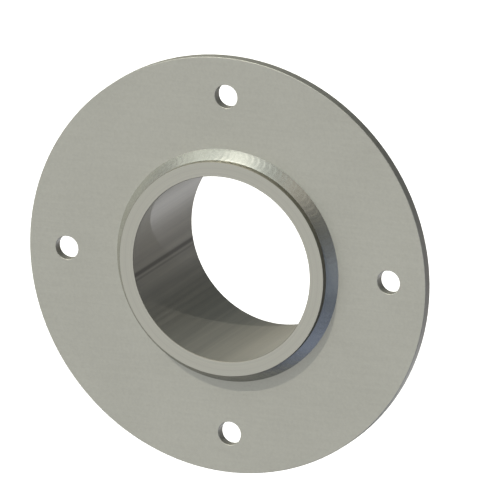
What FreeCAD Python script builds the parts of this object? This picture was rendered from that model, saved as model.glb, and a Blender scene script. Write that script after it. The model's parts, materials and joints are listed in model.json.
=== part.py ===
import FreeCAD, Part
import math
import os

# A round steel flange with a length of tube welded through it. It is bolted to a wall, and a
# cable passes through the tube with a round seal around it. Millimetres, +Z up. The tube's axis
# is the Y axis, the front looks towards -Y, and the origin is on the axis in the plate's back.

# Plate
plate_dia = 160.0
plate_thickness = 4.0
bolt_circle_dia = 130.0
bolt_hole_dia = 9.0
bolt_count = 4

# Tube, of a standard size: 82.5 outside with a 5.6 wall
tube_outer_dia = 82.5
tube_wall = 5.6
tube_front_stub = 6.0
tube_back_length = 45.0

# Weld bead on the front face, right round the tube
weld_leg = 3.5

# Fit and finish
tube_fit_clearance = 0.1
edge_break = 0.15

plate_radius = plate_dia / 2
plate_front_y = -plate_thickness
plate_back_y = 0.0
tube_outer_radius = tube_outer_dia / 2
bore_radius = tube_outer_radius - tube_wall
tube_front_y = plate_front_y - tube_front_stub
tube_back_y = plate_back_y + tube_back_length
plate_opening_radius = tube_outer_radius + tube_fit_clearance

centre = FreeCAD.Vector(0, 0, 0)
tube_axis = FreeCAD.Vector(0, 1, 0)


def turned_about_tube_axis(section):
    """The solid swept by a closed section of (radius, y) corners turned about the tube's axis."""
    corners = [FreeCAD.Vector(radius, y, 0) for radius, y in section]
    outline = Part.makePolygon(corners + corners[:1])
    return Part.Face(outline).revolve(centre, tube_axis, 360)


def broken_ring(inner_radius, outer_radius, front_y, back_y):
    """A ring with square ends whose edges are lightly broken."""
    return turned_about_tube_axis([
        (inner_radius + edge_break, front_y),
        (outer_radius - edge_break, front_y),
        (outer_radius, front_y + edge_break),
        (outer_radius, back_y - edge_break),
        (outer_radius - edge_break, back_y),
        (inner_radius + edge_break, back_y),
        (inner_radius, back_y - edge_break),
        (inner_radius, front_y + edge_break),
    ])


def bolt_hole_cutter(angle_deg):
    """One bolt hole with both its edges broken, at an angle round the bolt circle."""
    radius = bolt_hole_dia / 2
    cutter = turned_about_tube_axis([
        (0, plate_front_y),
        (radius + edge_break, plate_front_y),
        (radius, plate_front_y + edge_break),
        (radius, plate_back_y - edge_break),
        (radius + edge_break, plate_back_y),
        (0, plate_back_y),
    ])
    reach = bolt_circle_dia / 2
    angle = math.radians(angle_deg)
    cutter.translate(FreeCAD.Vector(reach * math.cos(angle), 0, reach * math.sin(angle)))
    return cutter


def flange_plate():
    """The round plate: an opening for the tube, and bolt holes at the top, bottom and sides."""
    plate = broken_ring(plate_opening_radius, plate_radius, plate_front_y, plate_back_y)
    for hole in range(bolt_count):
        plate = plate.cut(bolt_hole_cutter(360 * hole / bolt_count))
    return plate


def sleeve():
    """The tube, open at both ends."""
    return broken_ring(bore_radius, tube_outer_radius, tube_front_y, tube_back_y)


def fillet_weld():
    """The weld bead that joins the tube to the plate's front face, flat and at 45 degrees."""
    return turned_about_tube_axis([
        (tube_outer_radius, plate_front_y),
        (tube_outer_radius, plate_front_y - weld_leg),
        (tube_outer_radius + weld_leg, plate_front_y),
    ])


nodes = {
    "flange_plate": flange_plate(),
    "sleeve": sleeve(),
    "fillet_weld": fillet_weld(),
}

os.makedirs("parts", exist_ok=True)
for name, shape in nodes.items():
    shape.exportStep("parts/" + name + ".step")
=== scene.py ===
import json
import math
import random

import bpy
from mathutils import Matrix, Vector


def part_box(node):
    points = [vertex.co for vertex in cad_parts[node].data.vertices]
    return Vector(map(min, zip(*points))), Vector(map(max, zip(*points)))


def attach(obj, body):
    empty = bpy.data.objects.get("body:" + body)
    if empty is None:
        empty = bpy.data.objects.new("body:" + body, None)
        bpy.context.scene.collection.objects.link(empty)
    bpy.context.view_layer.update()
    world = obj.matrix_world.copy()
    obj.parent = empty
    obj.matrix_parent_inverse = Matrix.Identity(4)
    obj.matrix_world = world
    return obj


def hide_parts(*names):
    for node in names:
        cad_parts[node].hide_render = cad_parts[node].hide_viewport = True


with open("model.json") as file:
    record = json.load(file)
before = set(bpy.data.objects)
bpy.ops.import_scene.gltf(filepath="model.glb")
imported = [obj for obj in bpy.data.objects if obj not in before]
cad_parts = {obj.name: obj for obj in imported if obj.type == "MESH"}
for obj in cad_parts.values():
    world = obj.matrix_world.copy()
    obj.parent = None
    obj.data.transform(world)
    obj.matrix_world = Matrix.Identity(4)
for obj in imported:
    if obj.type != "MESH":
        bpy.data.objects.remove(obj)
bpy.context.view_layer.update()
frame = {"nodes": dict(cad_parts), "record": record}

MM = 0.001


def mount_size(name, size):
    """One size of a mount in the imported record, in metres."""
    mount = next(mount for mount in frame["record"]["mounts"] if mount["name"] == name)
    return mount["dims"][size] * MM


# Sizes in metres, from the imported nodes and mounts
TUBE_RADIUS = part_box("sleeve")[1].x
BORE_RADIUS = mount_size("sleeve_bore", "r_mm")
PLATE_FRONT_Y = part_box("flange_plate")[0].y
BEAD_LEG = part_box("fillet_weld")[1].x - TUBE_RADIUS

# A place within these of a radius counts as on that wall of the tube
OUTSIDE_MARGIN = 0.05 * MM
BORE_MARGIN = 0.1 * MM


def linear(hex_colour):
    """An sRGB hex colour as linear red, green, blue and alpha."""
    parts = [int(hex_colour[i:i + 2], 16) / 255 for i in (1, 3, 5)]
    return [p / 12.92 if p <= 0.04045 else ((p + 0.055) / 1.055) ** 2.4 for p in parts] + [1.0]


def add(tree, kind, inputs=None, out=0, **settings):
    """Adds a node with its settings. Each input gets a value, or an output to link from, and the
    node's own output comes back. Both go by name, or by number where several share a name."""
    node = tree.nodes.new(kind)
    for name, value in settings.items():
        setattr(node, name, value)
    for name, value in (inputs or {}).items():
        if isinstance(value, bpy.types.NodeSocket):
            tree.links.new(value, node.inputs[name])
        else:
            node.inputs[name].default_value = value
    return node.outputs[out] if node.outputs else None


def per_size(size_mm):
    """The scale of a noise pattern whose marks are this many millimetres across."""
    return 1.0 / (size_mm * MM)


def deselect_all():
    for thing in bpy.context.selected_objects:
        thing.select_set(False)


def select_vertices(piece, wanted):
    """In edit mode, selects just the vertices whose place passes the test."""
    bpy.ops.mesh.select_all(action="DESELECT")
    bpy.ops.object.mode_set(mode="OBJECT")
    for vertex in piece.data.vertices:
        vertex.select = wanted(vertex.co)
    bpy.ops.object.mode_set(mode="EDIT")


# The weld bead is cut into rows from toe to toe, and into steps round the tube
RIPPLES = 112
STEPS_PER_RIPPLE = 8
BEAD_ROWS = 12
ROOT_REACH = 0.05 * MM
MERGE_DISTANCE = 0.001 * MM
SMOOTH_ANGLE = math.radians(35)

# The ripples of a hand-laid TIG bead, one for each touch of the filler rod. Each climbs to its
# crest, drops from there in a short step, and is bowed between the toes. The bow and the crest's
# place are in ripples, and the lowest ripple is this share of the height.
RIPPLE_HEIGHT = 0.045 * MM
RIPPLE_SEED = 4
LOWEST_RIPPLE = 0.7
RIPPLE_BOW = 0.55
CREST_AT = 0.8
CLIMB_POWER = 0.8
TOE_FADE_POWER = 8
BEAD_CROWN = 0.012 * MM

# Shares of the leg that tell the vertices of the bead's face from those inside it and at its toes
FACE_FROM = 0.98
TOE_FROM = 0.999


def bead_section():
    """The bead's three-cornered section, lying in the plane of the tube's axis."""
    deselect_all()
    middle = (TUBE_RADIUS + BEAD_LEG / 2, PLATE_FRONT_Y - BEAD_LEG / 2, 0)
    bpy.ops.mesh.primitive_plane_add(size=BEAD_LEG, location=middle)
    bead = bpy.context.object
    bead.name = "weld_bead"
    bpy.ops.object.transform_apply(location=True, rotation=True, scale=True)
    bpy.ops.object.mode_set(mode="EDIT")
    bpy.ops.mesh.select_mode(type="VERT")
    bpy.ops.mesh.select_all(action="SELECT")
    bpy.ops.mesh.bisect(plane_co=middle, plane_no=(1, -1, 0), clear_outer=True)
    bpy.ops.mesh.select_all(action="SELECT")
    bpy.ops.mesh.delete(type="ONLY_FACE")
    return bead


def off_root(co):
    """Whether a corner of the section is another than its root, where tube and plate meet."""
    return abs(co.x - TUBE_RADIUS) > ROOT_REACH or abs(co.y - PLATE_FRONT_Y) > ROOT_REACH


def lay_bead():
    """The bead's section, its face cut into rows, spun round the tube."""
    bead = bead_section()
    select_vertices(bead, off_root)
    bpy.ops.mesh.subdivide(number_cuts=BEAD_ROWS - 1)
    bpy.ops.mesh.select_all(action="SELECT")
    bpy.ops.mesh.spin(
        steps=RIPPLES * STEPS_PER_RIPPLE, angle=2 * math.pi, center=(0, 0, 0), axis=(0, 1, 0))
    bpy.ops.mesh.select_all(action="SELECT")
    bpy.ops.mesh.remove_doubles(threshold=MERGE_DISTANCE)
    bpy.ops.mesh.normals_make_consistent(inside=False)
    bpy.ops.object.mode_set(mode="OBJECT")
    return bead


def ripple_height(turn, across, lift):
    """Height, from 0 to 1, of the rippled face. Turn counts ripples, and across runs from -1 at
    the tube's toe to 1 at the plate's."""
    place = turn + RIPPLE_BOW * (1 - across * across)
    through = place % 1.0
    if through < CREST_AT:
        rise = through ** CLIMB_POWER
    else:
        rise = (1 - through) / (1 - CREST_AT) * CREST_AT ** CLIMB_POWER
    return rise * lift[int(place) % RIPPLES]


def ripple_bead(bead):
    """Raises the bead's face into a slight crown and overlapping ripples, down to its toes."""
    draw = random.Random(RIPPLE_SEED)
    lift = [draw.uniform(LOWEST_RIPPLE, 1.0) for _ in range(RIPPLES)]
    ripples = bead.vertex_groups.new(name="ripples")
    crown = bead.vertex_groups.new(name="crown")
    for vertex in bead.data.vertices:
        out = math.hypot(vertex.co.x, vertex.co.z) - TUBE_RADIUS
        forward = PLATE_FRONT_Y - vertex.co.y
        across = (out - forward) / BEAD_LEG
        if out + forward < FACE_FROM * BEAD_LEG or abs(across) > TOE_FROM:
            continue
        turn = (math.atan2(vertex.co.z, vertex.co.x) / (2 * math.pi) % 1.0) * RIPPLES
        fade = 1 - across ** TOE_FADE_POWER
        ripples.add([vertex.index], fade * ripple_height(turn, across, lift), "REPLACE")
        crown.add([vertex.index], 1 - across * across, "REPLACE")
    bpy.context.view_layer.objects.active = bead
    for group, height in (("crown", BEAD_CROWN), ("ripples", RIPPLE_HEIGHT)):
        shape = bead.modifiers.new(group, "DISPLACE")
        shape.direction = "NORMAL"
        shape.mid_level = 0
        shape.strength = height
        shape.vertex_group = group
        bpy.ops.object.modifier_apply(modifier=shape.name)


def weld_bead():
    bead = lay_bead()
    ripple_bead(bead)
    bpy.ops.object.shade_smooth_by_angle(angle=SMOOTH_ANGLE)
    bead.vertex_groups.clear()
    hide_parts("fillet_weld")
    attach(bead, "root")
    return bead


def new_finish(name):
    """A material without nodes yet, and its node tree."""
    finish = bpy.data.materials.new(name)
    finish.use_nodes = True
    tree = finish.node_tree
    tree.nodes.clear()
    return finish, tree


# A surface's squareness is 1 on faces square to the tube's axis, 0.7 on their broken edges and 0
# on round walls. These ranges part walls from edges, and edges from faces.
WALL_TO_EDGE = {"From Min": 0.60, "From Max": 0.70}
EDGE_TO_FACE = {"From Min": 0.80, "From Max": 0.90}


def squareness_of(tree):
    """How square the surface stands to the tube's axis."""
    normal = add(tree, "ShaderNodeTexCoord", out="Normal")
    forward = add(tree, "ShaderNodeSeparateXYZ", {"Vector": normal}, out="Y")
    return add(tree, "ShaderNodeMath", {0: forward}, operation="ABSOLUTE")


def end_face_share(tree):
    """1 on faces square to the tube's axis and their broken edges, 0 on round walls."""
    return add(tree, "ShaderNodeMapRange", {"Value": squareness_of(tree), **WALL_TO_EDGE})


# Nearly all of a noise pattern's values lie in this range
NOISE_RANGE = {"From Min": 0.3, "From Max": 0.7}

# A pickled skin scatters a little light as paint does, so the metal isn't a pure mirror
SKIN_METALLIC = 0.8


def bare_metal(tree, colour, roughness, height, depth_mm):
    """Ends a finish as bare metal, with a relief of this depth."""
    relief = add(tree, "ShaderNodeBump", {
        "Height": height, "Strength": 1.0, "Distance": depth_mm * MM})
    shader = add(tree, "ShaderNodeBsdfPrincipled", {
        "Base Color": colour, "Metallic": SKIN_METALLIC, "Roughness": roughness,
        "Normal": relief})
    add(tree, "ShaderNodeOutputMaterial", {"Surface": shader})


PLATE_DARK = linear("#BBBBB3")
PLATE_LIGHT = linear("#CACAC2")
PLATE_FACE_ROUGHNESS = {"To Min": 0.48, "To Max": 0.58}
PLATE_EDGE_ROUGHNESS = {"To Min": 0.36, "To Max": 0.52}
PLATE_RELIEF_MM = 0.045

# The real grain is some 0.05 mm across, and the lines of the laser's cut some 0.2 mm. They are
# drawn at these sizes, so that they show
PLATE_GRAIN_MM = 0.9
CUT_LINE_MM = 0.8

# The size of the patches in which the plate's tone drifts, how much of the tone they make up,
# and how much of the grain is drawn out by the rolling
PLATE_DRIFT_MM = 38.0
PLATE_DRIFT_SHARE = 0.25
ROLLED_SHARE = 0.35

# Rolling draws the grain out along X. The laser's cut runs through the thickness, along Y
ROLLING = (0.05, 1.0, 1.0)
CUTTING = (1.0, 0.04, 1.0)


def pickled_plate():
    """Stainless plate, rolled, pickled and cut out by laser. It gives the eye a matt, even,
    slightly warm grey with a fine grain, drawn out a little along the rolling, and brighter cut
    edges with close straight lines through the thickness."""
    finish, tree = new_finish("pickled_stainless_plate")
    place = add(tree, "ShaderNodeTexCoord", out="Object")
    rolling = add(tree, "ShaderNodeMapping", {"Vector": place, "Scale": ROLLING})
    cutting = add(tree, "ShaderNodeMapping", {"Vector": place, "Scale": CUTTING})
    grain = add(tree, "ShaderNodeTexNoise", {
        "Vector": place, "Scale": per_size(PLATE_GRAIN_MM), "Detail": 3.0})
    rolled = add(tree, "ShaderNodeTexNoise", {
        "Vector": rolling, "Scale": per_size(PLATE_GRAIN_MM)})
    drift = add(tree, "ShaderNodeTexNoise", {"Vector": place, "Scale": per_size(PLATE_DRIFT_MM)})
    cut_lines = add(tree, "ShaderNodeTexNoise", {
        "Vector": cutting, "Scale": per_size(CUT_LINE_MM)})
    texture = add(tree, "ShaderNodeMix", {
        "Factor": ROLLED_SHARE, "A": grain, "B": rolled}, data_type="FLOAT")
    shade = add(tree, "ShaderNodeMix", {
        "Factor": PLATE_DRIFT_SHARE, "A": texture, "B": drift}, data_type="FLOAT")
    tone = add(tree, "ShaderNodeMapRange", {"Value": shade, **NOISE_RANGE})
    colour = add(tree, "ShaderNodeMix", {
        "Factor": tone, "A": PLATE_DARK, "B": PLATE_LIGHT}, out="Result", data_type="RGBA")
    face_roughness = add(tree, "ShaderNodeMapRange", {
        "Value": texture, **NOISE_RANGE, **PLATE_FACE_ROUGHNESS})
    edge_roughness = add(tree, "ShaderNodeMapRange", {
        "Value": cut_lines, **NOISE_RANGE, **PLATE_EDGE_ROUGHNESS})
    face = end_face_share(tree)
    roughness = add(tree, "ShaderNodeMix", {
        "Factor": face, "A": edge_roughness, "B": face_roughness}, data_type="FLOAT")
    height = add(tree, "ShaderNodeMix", {
        "Factor": face, "A": cut_lines, "B": texture}, data_type="FLOAT")
    bare_metal(tree, colour, roughness, height, PLATE_RELIEF_MM)
    return finish


# Lines along the bore, drawn as the tube's seam rolled down from inside. Their dark tone is a
# painted dark reflection. The angle from +X towards +Z, and for each line how far it is along the
# wall, half its width, and how dark it is. The lines fade out over this share of half their width,
# to both sides
SEAM_REFLECTION_ANGLE = math.radians(190)
SEAM_REFLECTION_LINES = ((0.0, 0.75 * MM, 1.0), (2.0 * MM, 0.40 * MM, 0.45))
SEAM_REFLECTION_FADE = 0.6


def seam_reflection_share(tree, place):
    """How dark the painted reflection along the seam is, from 0 to 1, on its side of the tube."""
    across = (-math.sin(SEAM_REFLECTION_ANGLE), 0.0, math.cos(SEAM_REFLECTION_ANGLE))
    outward = (math.cos(SEAM_REFLECTION_ANGLE), 0.0, math.sin(SEAM_REFLECTION_ANGLE))
    offset = add(tree, "ShaderNodeVectorMath", {0: place, 1: across}, out="Value",
                 operation="DOT_PRODUCT")
    dark = 0.0
    for along_wall, half_width, depth in SEAM_REFLECTION_LINES:
        away = add(tree, "ShaderNodeMath", {0: offset, 1: along_wall}, operation="SUBTRACT")
        distance = add(tree, "ShaderNodeMath", {0: away}, operation="ABSOLUTE")
        line = add(tree, "ShaderNodeMapRange", {
            "Value": distance, "From Min": (1 - SEAM_REFLECTION_FADE) * half_width,
            "From Max": (1 + SEAM_REFLECTION_FADE) * half_width, "To Min": depth, "To Max": 0.0},
            interpolation_type="SMOOTHSTEP")
        dark = add(tree, "ShaderNodeMath", {0: dark, 1: line}, operation="MAXIMUM")
    side = add(tree, "ShaderNodeVectorMath", {0: place, 1: outward}, out="Value",
               operation="DOT_PRODUCT")
    seam_reflection_side = add(tree, "ShaderNodeMath", {0: side, 1: 0.0}, operation="GREATER_THAN")
    return add(tree, "ShaderNodeMath", {0: dark, 1: seam_reflection_side}, operation="MULTIPLY")


def painted_shade_share(tree, place, radius):
    """1 where the tube's colour is darkened into painted shade: on its broken edges, whose
    highlights it dims, and on its outside in front of the plate."""
    squareness = squareness_of(tree)
    edge = add(tree, "ShaderNodeMapRange", {"Value": squareness, **WALL_TO_EDGE})
    not_face = add(tree, "ShaderNodeMapRange", {
        "Value": squareness, **EDGE_TO_FACE, "To Min": 1.0, "To Max": 0.0})
    along = add(tree, "ShaderNodeSeparateXYZ", {"Vector": place}, out="Y")
    in_front = add(tree, "ShaderNodeMath", {0: along, 1: PLATE_FRONT_Y}, operation="LESS_THAN")
    outside = add(tree, "ShaderNodeMath", {
        0: radius, 1: TUBE_RADIUS - OUTSIDE_MARGIN}, operation="GREATER_THAN")
    stub_shade = add(tree, "ShaderNodeMath", {0: in_front, 1: outside}, operation="MULTIPLY")
    painted_shade = add(tree, "ShaderNodeMath", {0: stub_shade, 1: edge}, operation="MAXIMUM")
    return add(tree, "ShaderNodeMath", {0: painted_shade, 1: not_face}, operation="MULTIPLY")


TUBE_DARK = linear("#B5B5AE")
TUBE_LIGHT = linear("#CAC9C0")
# Painted dark reflection for the lines along the bore
SEAM_REFLECTION_DARK = linear("#8E8D88")
# Painted shade for the broken edges and the outside in front of the plate
TUBE_PAINTED_SHADE = linear("#8A877C")
TUBE_WALL_ROUGHNESS = {"To Min": 0.36, "To Max": 0.48}
TUBE_END_ROUGHNESS = {"To Min": 0.49, "To Max": 0.57}
TUBE_RELIEF_MM = 0.024

# The real lines of drawing are some 0.1 mm across, and the rings of the lathe some 0.15 mm. They
# are drawn at these sizes, so that they show
DRAWN_LINE_MM = 1.0
RING_MM = 0.7

# Broad streaks lie between the lines. The values of the two mixed lie in this range
STREAK_MM = 5.0
STREAK_SHARE = 0.5
DRAWN_RANGE = {"From Min": 0.32, "From Max": 0.68}

# Drawing stretches every mark along the tube, and a flattened place gives the radius
DRAWING = (1.0, 0.012, 1.0)
FLATTENED = (1.0, 0.0, 1.0)

# The ends' rings are fainter than the walls' lines
FAINT_RINGS = {"To Min": 0.40, "To Max": 0.70}


def drawn_tube():
    """Welded stainless tube, drawn to size, its ends faced on a lathe. It gives the eye a satin
    grey with streaks and fine lines right along the tube, darker lines inside it drawn as the
    seam, whose dark tone is a painted dark reflection, painted shade on its broken edges and on
    its outside in front of the plate, and matt ends with faint rings round the axis."""
    finish, tree = new_finish("drawn_stainless_tube")
    place = add(tree, "ShaderNodeTexCoord", out="Object")
    along = add(tree, "ShaderNodeMapping", {"Vector": place, "Scale": DRAWING})
    lines = add(tree, "ShaderNodeTexNoise", {
        "Vector": along, "Scale": per_size(DRAWN_LINE_MM), "Detail": 2.0})
    streaks = add(tree, "ShaderNodeTexNoise", {
        "Vector": along, "Scale": per_size(STREAK_MM), "Detail": 3.0})
    die_marks = add(tree, "ShaderNodeMix", {
        "Factor": STREAK_SHARE, "A": lines, "B": streaks}, data_type="FLOAT")
    flat = add(tree, "ShaderNodeMapping", {"Vector": place, "Scale": FLATTENED})
    radius = add(tree, "ShaderNodeVectorMath", {0: flat}, out="Value", operation="LENGTH")
    rings = add(tree, "ShaderNodeTexNoise", {
        "W": radius, "Scale": per_size(RING_MM), "Detail": 1.0}, noise_dimensions="1D")
    fine_rings = add(tree, "ShaderNodeMapRange", {"Value": rings, **FAINT_RINGS})
    face = end_face_share(tree)
    texture = add(tree, "ShaderNodeMix", {
        "Factor": face, "A": die_marks, "B": fine_rings}, data_type="FLOAT")
    in_bore = add(tree, "ShaderNodeMath", {
        0: radius, 1: BORE_RADIUS + BORE_MARGIN}, operation="LESS_THAN")
    seam_reflection = add(tree, "ShaderNodeMath", {
        0: seam_reflection_share(tree, place), 1: in_bore}, operation="MULTIPLY")
    tone = add(tree, "ShaderNodeMapRange", {"Value": texture, **DRAWN_RANGE})
    plain = add(tree, "ShaderNodeMix", {
        "Factor": tone, "A": TUBE_DARK, "B": TUBE_LIGHT}, out="Result", data_type="RGBA")
    # Painted dark reflection along the bore, drawn as the seam
    seamed = add(tree, "ShaderNodeMix", {
        "Factor": seam_reflection, "A": plain, "B": SEAM_REFLECTION_DARK}, out="Result", data_type="RGBA")
    # Painted shade on the broken edges and on the outside in front of the plate
    painted_shade = painted_shade_share(tree, place, radius)
    colour = add(tree, "ShaderNodeMix", {
        "Factor": painted_shade, "A": seamed, "B": TUBE_PAINTED_SHADE}, out="Result", data_type="RGBA")
    wall_roughness = add(tree, "ShaderNodeMapRange", {
        "Value": die_marks, **DRAWN_RANGE, **TUBE_WALL_ROUGHNESS})
    end_roughness = add(tree, "ShaderNodeMapRange", {
        "Value": rings, **NOISE_RANGE, **TUBE_END_ROUGHNESS})
    roughness = add(tree, "ShaderNodeMix", {
        "Factor": face, "A": wall_roughness, "B": end_roughness}, data_type="FLOAT")
    bare_metal(tree, colour, roughness, texture, TUBE_RELIEF_MM)
    return finish


WELD_DARK = linear("#BDBDB4")
WELD_LIGHT = linear("#CBCBC3")
WELD_ROUGHNESS = {"To Min": 0.22, "To Max": 0.27}
WELD_RELIEF_MM = 0.004

# The real brushing is some 0.1 mm across. It is drawn at this size, so that it shows
BRUSHING_MM = 0.7

# The size of the patches in which the weld's tone drifts, and how much of the tone they make up
WELD_DRIFT_MM = 6.0
WELD_DRIFT_SHARE = 0.5


def cleaned_weld():
    """A TIG bead, brushed and pickled clean. It gives the eye a soft shine, brighter than the
    plate's, with fine brushing and a faint drift of tone from ripple to ripple."""
    finish, tree = new_finish("cleaned_stainless_weld")
    place = add(tree, "ShaderNodeTexCoord", out="Object")
    brushing = add(tree, "ShaderNodeTexNoise", {"Vector": place, "Scale": per_size(BRUSHING_MM)})
    drift = add(tree, "ShaderNodeTexNoise", {"Vector": place, "Scale": per_size(WELD_DRIFT_MM)})
    shade = add(tree, "ShaderNodeMix", {
        "Factor": WELD_DRIFT_SHARE, "A": brushing, "B": drift}, data_type="FLOAT")
    tone = add(tree, "ShaderNodeMapRange", {"Value": shade, **NOISE_RANGE})
    colour = add(tree, "ShaderNodeMix", {
        "Factor": tone, "A": WELD_DARK, "B": WELD_LIGHT}, out="Result", data_type="RGBA")
    roughness = add(tree, "ShaderNodeMapRange", {
        "Value": brushing, **NOISE_RANGE, **WELD_ROUGHNESS})
    bare_metal(tree, colour, roughness, brushing, WELD_RELIEF_MM)
    return finish


def dress(piece, finish):
    """Gives a piece one finish all over."""
    if not piece.data.materials:
        piece.data.materials.append(finish)
    for number in range(len(piece.data.materials)):
        piece.data.materials[number] = finish


# The view: an exactly parallel one, from the front, right of centre and a little above. The
# middle of the plate's front is at this pixel, and each pixel is this wide on the part
AZIMUTH = math.radians(23.47)
ELEVATION = math.radians(15.885)
ROLL = math.radians(-0.59)
PICTURE_SIDE = 500
PIXEL = 0.3713 * MM
FACE_CENTRE_PIXEL = (227.242, 264.649)
CAMERA_DISTANCE = 0.6


def set_camera():
    back = Vector((
        math.sin(AZIMUTH) * math.cos(ELEVATION), -math.cos(AZIMUTH) * math.cos(ELEVATION),
        math.sin(ELEVATION)))
    level_right = Vector((math.cos(AZIMUTH), math.sin(AZIMUTH), 0))
    right = level_right * math.cos(ROLL) + back.cross(level_right) * math.sin(ROLL)
    up = back.cross(right)
    middle = (PICTURE_SIDE - 1) / 2
    aim = (Vector((0, PLATE_FRONT_Y, 0)) - right * (FACE_CENTRE_PIXEL[0] - middle) * PIXEL
           + up * (FACE_CENTRE_PIXEL[1] - middle) * PIXEL)
    data = bpy.data.cameras.new("camera")
    data.type = "ORTHO"
    data.ortho_scale = PICTURE_SIDE * PIXEL
    camera = bpy.data.objects.new("camera", data)
    bpy.context.scene.collection.objects.link(camera)
    turn = Matrix((right, up, back)).transposed().to_4x4()
    camera.matrix_world = Matrix.Translation(aim + back * CAMERA_DISTANCE) @ turn
    bpy.context.scene.camera = camera


# The key light and the low one at the back: where each comes from, its strength and its colour
KEY = ((-0.297, -0.617, 0.729), 1.849, (1.0, 0.936, 0.803))
LOW_BACK = ((0.458, 0.598, -0.658), 0.335, (0.869, 0.872, 1.0))
LAMP_SPREAD = math.radians(0.6)


def sun(name, source, strength, colour):
    """A far lamp that shines from the direction source."""
    data = bpy.data.lights.new(name, "SUN")
    data.energy = strength
    data.angle = LAMP_SPREAD
    data.color = colour
    lamp = bpy.data.objects.new(name, data)
    bpy.context.scene.collection.objects.link(lamp)
    lamp.rotation_mode = "QUATERNION"
    lamp.rotation_quaternion = Vector(source).to_track_quat("Z", "Y")
    return lamp


def light_just(lamp, lit, shading=None):
    """Lets a lamp light just these pieces and, where shading is given, be shaded by just those."""
    linking = lamp.light_linking
    linking.receiver_collection = bpy.data.collections.new(lamp.name + "_lit")
    for piece in lit:
        linking.receiver_collection.objects.link(piece)
    if shading:
        linking.blocker_collection = bpy.data.collections.new(lamp.name + "_shading")
        for piece in shading:
            linking.blocker_collection.objects.link(piece)


# The studio round the part, as broad soft lights: where each one is, how narrow, and its red,
# green and blue brightness. Those at the front, top and sides shape the weld bead, those at the
# back the bore, and the wide ones behind light the back.
STUDIO = {
    "front_panel": ((-0.38, -0.88, -0.28), 7.0, (0.716, 0.668, 0.636)),
    "front_left_window": ((-0.85, -0.50, -0.10), 7.0, (0.300, 0.300, 0.300)),
    "high_front_sky": ((-0.30, -0.75, 0.60), 7.0, (1.303, 1.506, 1.567)),
    "top_window": ((-0.17, -0.35, 0.92), 45.0, (1.020, 0.980, 0.900)),
    "high_left_window": ((-0.66, -0.16, 0.73), 34.0, (0.620, 0.620, 0.550)),
    "high_right_lamp": ((0.50, -0.47, 0.73), 22.0, (0.440, 0.385, 0.330)),
    "right_wall": ((0.88, -0.38, -0.27), 16.0, (0.229, 0.268, 0.357)),
    "low_right_wall": ((0.44, -0.14, -0.89), 12.0, (0.285, 0.335, 0.485)),
    "right_window": ((0.97, 0.22, 0.10), 12.0, (0.450, 0.450, 0.450)),
    "left_wall": ((-0.97, 0.15, 0.15), 10.0, (0.050, 0.050, 0.050)),
    "low_back_lamp": ((0.04, 0.88, -0.47), 22.0, (0.590, 0.580, 0.570)),
    "right_back_lamp": ((0.38, 0.88, -0.27), 22.0, (0.069, 0.054, 0.051)),
    "left_back_lamp": ((-0.45, 0.88, 0.13), 22.0, (0.400, 0.372, 0.284)),
    "back_left_window": ((-0.80, 0.55, 0.20), 6.0, (0.350, 0.350, 0.350)),
    "back_right_window": ((0.80, 0.58, -0.05), 12.0, (0.300, 0.300, 0.300)),
    "high_back_wall": ((0.05, 0.55, 0.83), 10.0, (0.255, 0.268, 0.262)),
    "low_back_wall": ((-0.30, 0.55, -0.78), 8.0, (0.120, 0.120, 0.120)),
}


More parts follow.
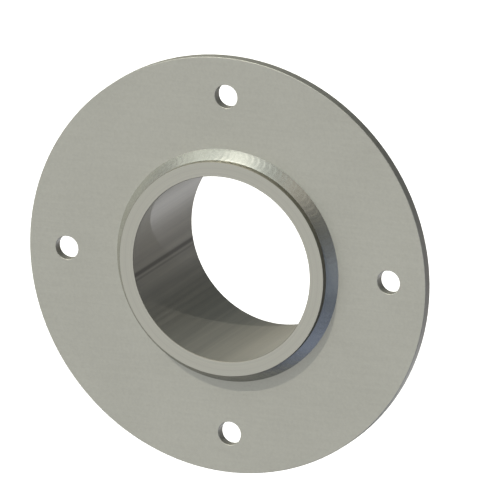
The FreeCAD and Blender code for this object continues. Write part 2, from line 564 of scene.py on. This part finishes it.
def set_world():
    """White to the camera, and the studio's soft lights to everything else."""
    world = bpy.data.worlds.new("studio")
    bpy.context.scene.world = world
    world.use_nodes = True
    tree = world.node_tree
    tree.nodes.clear()
    direction = add(tree, "ShaderNodeTexCoord", out="Generated")
    total = (0.0, 0.0, 0.0)
    for towards, narrowness, brightness in STUDIO.values():
        unit = Vector(towards).normalized()
        facing = add(tree, "ShaderNodeVectorMath", {0: direction, 1: unit}, out="Value",
                     operation="DOT_PRODUCT")
        less_one = add(tree, "ShaderNodeMath", {
            0: facing, 1: narrowness, 2: -narrowness}, operation="MULTIPLY_ADD")
        falloff = add(tree, "ShaderNodeMath", {0: less_one}, operation="EXPONENT")
        lit = add(tree, "ShaderNodeVectorMath", {0: brightness, "Scale": falloff},
                  operation="SCALE")
        total = add(tree, "ShaderNodeVectorMath", {0: total, 1: lit}, operation="ADD")
    to_camera = add(tree, "ShaderNodeLightPath", out="Is Camera Ray")
    studio = add(tree, "ShaderNodeBackground", {"Color": total, "Strength": 1.0})
    white = add(tree, "ShaderNodeBackground", {"Color": (1, 1, 1, 1), "Strength": 1.0})
    shown = add(tree, "ShaderNodeMixShader", {0: to_camera, 1: studio, 2: white})
    add(tree, "ShaderNodeOutputWorld", {"Surface": shown})


FLOOR_SIDE = 8.0
FLOOR_HEIGHT = -0.32
FLOOR_ROUGHNESS = 0.9
FLOOR_GLOW = 0.7


def set_floor():
    """A plain pale floor, far enough below for the shadow on it to fall outside the picture. The
    part doesn't see it, so that the studio's lights alone shape the metal."""
    deselect_all()
    bpy.ops.mesh.primitive_plane_add(size=FLOOR_SIDE, location=(0, 0, FLOOR_HEIGHT))
    floor = bpy.context.object
    floor.name = "floor"
    finish, tree = new_finish("white_paper")
    shader = add(tree, "ShaderNodeBsdfPrincipled", {
        "Base Color": linear("#F7F7F7"), "Roughness": FLOOR_ROUGHNESS, "Specular IOR Level": 0.0,
        "Emission Color": linear("#FFFFFF"), "Emission Strength": FLOOR_GLOW})
    add(tree, "ShaderNodeOutputMaterial", {"Surface": shader})
    dress(floor, finish)
    floor.visible_glossy = False
    floor.visible_diffuse = False
    floor.visible_shadow = False
    return floor


bead = weld_bead()
plate = frame["nodes"]["flange_plate"]
tube = frame["nodes"]["sleeve"]
dress(bead, cleaned_weld())
dress(plate, pickled_plate())
dress(tube, drawn_tube())
dress(frame["nodes"]["fillet_weld"], cleaned_weld())

set_camera()
set_world()
floor = set_floor()

# One key light in two lamps. The plate doesn't shade the tube's own, so no bright spot falls
# through a bolt hole onto the tube behind, where it would look like a hole in the tube
light_just(sun("key", *KEY), [plate, bead, floor])
light_just(sun("tube_key", *KEY), [tube], shading=[tube, bead])
sun("low_back", *LOW_BACK)

settings = bpy.context.scene.view_settings
settings.view_transform = "Standard"
settings.look = "None"
